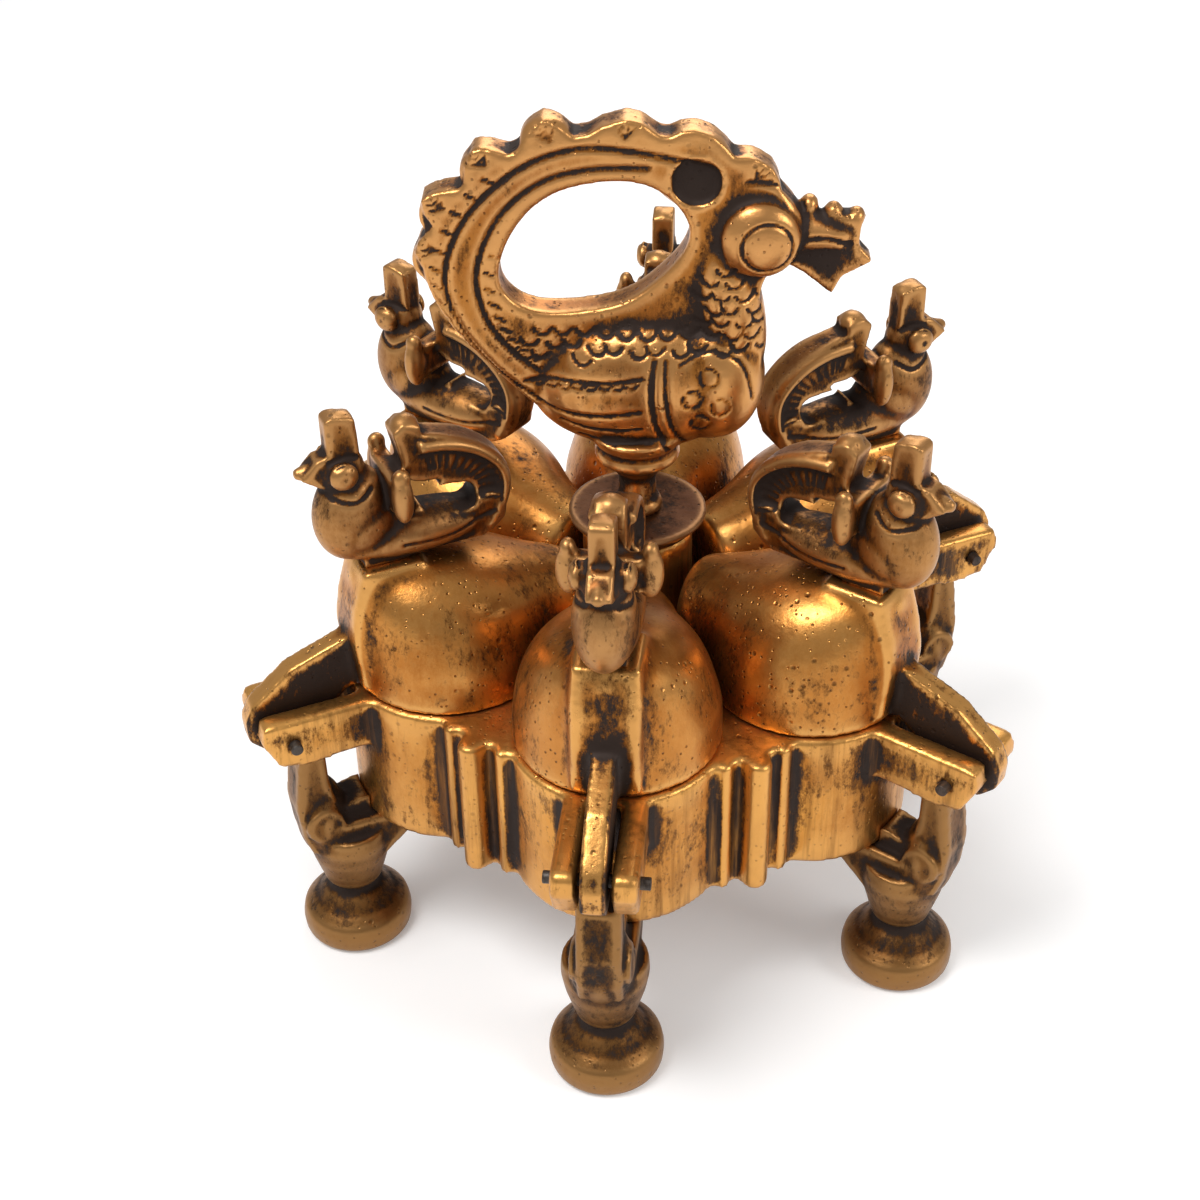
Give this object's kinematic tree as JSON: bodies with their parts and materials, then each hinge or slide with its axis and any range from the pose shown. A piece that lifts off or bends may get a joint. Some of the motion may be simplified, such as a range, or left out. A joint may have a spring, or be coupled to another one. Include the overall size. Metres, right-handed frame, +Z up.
{
  "type": "sindoor box",
  "caption": "Old cast brass powder box on tall legs: hinged petal lids with small birds round a middle post, and a large ring-tailed bird as the screw handle.",
  "frame": {"origin": "middle of the six feet on the ground", "axes": "+Z up through the handle's post, -Y towards the front lid, +X to the right seen from the front"},
  "size_m": [0.1504, 0.1678, 0.1691],
  "materials": {
    "brass": "rubbed golden cast brass with pits and brown shading",
    "brass_dark": "darker olive brown cast brass with rubbed edges",
    "patina": "dark purple-brown patina with a thin rubbed rim",
    "iron": "dull dark cut iron"
  },
  "bodies": {
    "base": {"base": "brass", "leg_1": "brass_dark", "leg_2": "brass_dark", "leg_3": "brass_dark", "leg_4": "brass_dark", "leg_5": "brass_dark", "leg_6": "brass_dark", "hinge_pin_1": "iron", "hinge_pin_2": "iron", "hinge_pin_3": "iron", "hinge_pin_4": "iron", "hinge_pin_5": "iron", "hinge_pin_6": "iron"},
    "petal_1": {"lid_1": "brass", "lid_bird_1": "brass_dark"},
    "petal_2": {"lid_2": "brass", "lid_bird_2": "brass_dark"},
    "petal_3": {"lid_3": "brass", "lid_bird_3": "brass_dark"},
    "petal_4": {"lid_4": "brass", "lid_bird_4": "brass_dark"},
    "petal_5": {"lid_5": "brass", "lid_bird_5": "brass_dark"},
    "petal_6": {"lid_6": "brass", "lid_bird_6": "brass_dark"},
    "clamp": {"collar": "patina"},
    "handle": {"handle_bird": "brass", "handle_stud": "iron"}
  },
  "joints": [
    {"name": "lid_hinge_1", "type": "hinge", "parent": "base", "child": "petal_1", "pos_m": [0, -0.076, 0.0574], "axis": [1, 0, 0], "range_deg": [0, 138]},
    {"name": "lid_hinge_2", "type": "hinge", "parent": "base", "child": "petal_2", "pos_m": [0.06582, -0.038, 0.0574], "axis": [0.5, 0.866, 0], "range_deg": [0, 138]},
    {"name": "lid_hinge_3", "type": "hinge", "parent": "base", "child": "petal_3", "pos_m": [0.06582, 0.038, 0.0574], "axis": [-0.5, 0.866, 0], "range_deg": [0, 138]},
    {"name": "lid_hinge_4", "type": "hinge", "parent": "base", "child": "petal_4", "pos_m": [0, 0.076, 0.0574], "axis": [-1, 0, 0], "range_deg": [0, 138]},
    {"name": "lid_hinge_5", "type": "hinge", "parent": "base", "child": "petal_5", "pos_m": [-0.06582, 0.038, 0.0574], "axis": [-0.5, -0.866, 0], "range_deg": [0, 138]},
    {"name": "lid_hinge_6", "type": "hinge", "parent": "base", "child": "petal_6", "pos_m": [-0.06582, -0.038, 0.0574], "axis": [0.5, -0.866, 0], "range_deg": [0, 138]},
    {"name": "collar_lift", "type": "slide", "parent": "base", "child": "clamp", "axis": [0, 0, 1], "range_m": [0, 0.0045]},
    {"name": "handle_turn", "type": "hinge", "parent": "clamp", "child": "handle", "pos_m": [0, 0, 0.0873], "axis": [0, 0, 1], "range_deg": [0, 1080]}
  ],
  "couplings": [
    {"joint": "handle_turn", "follows": "collar_lift", "rad_per_m": 4188.8}
  ]
}
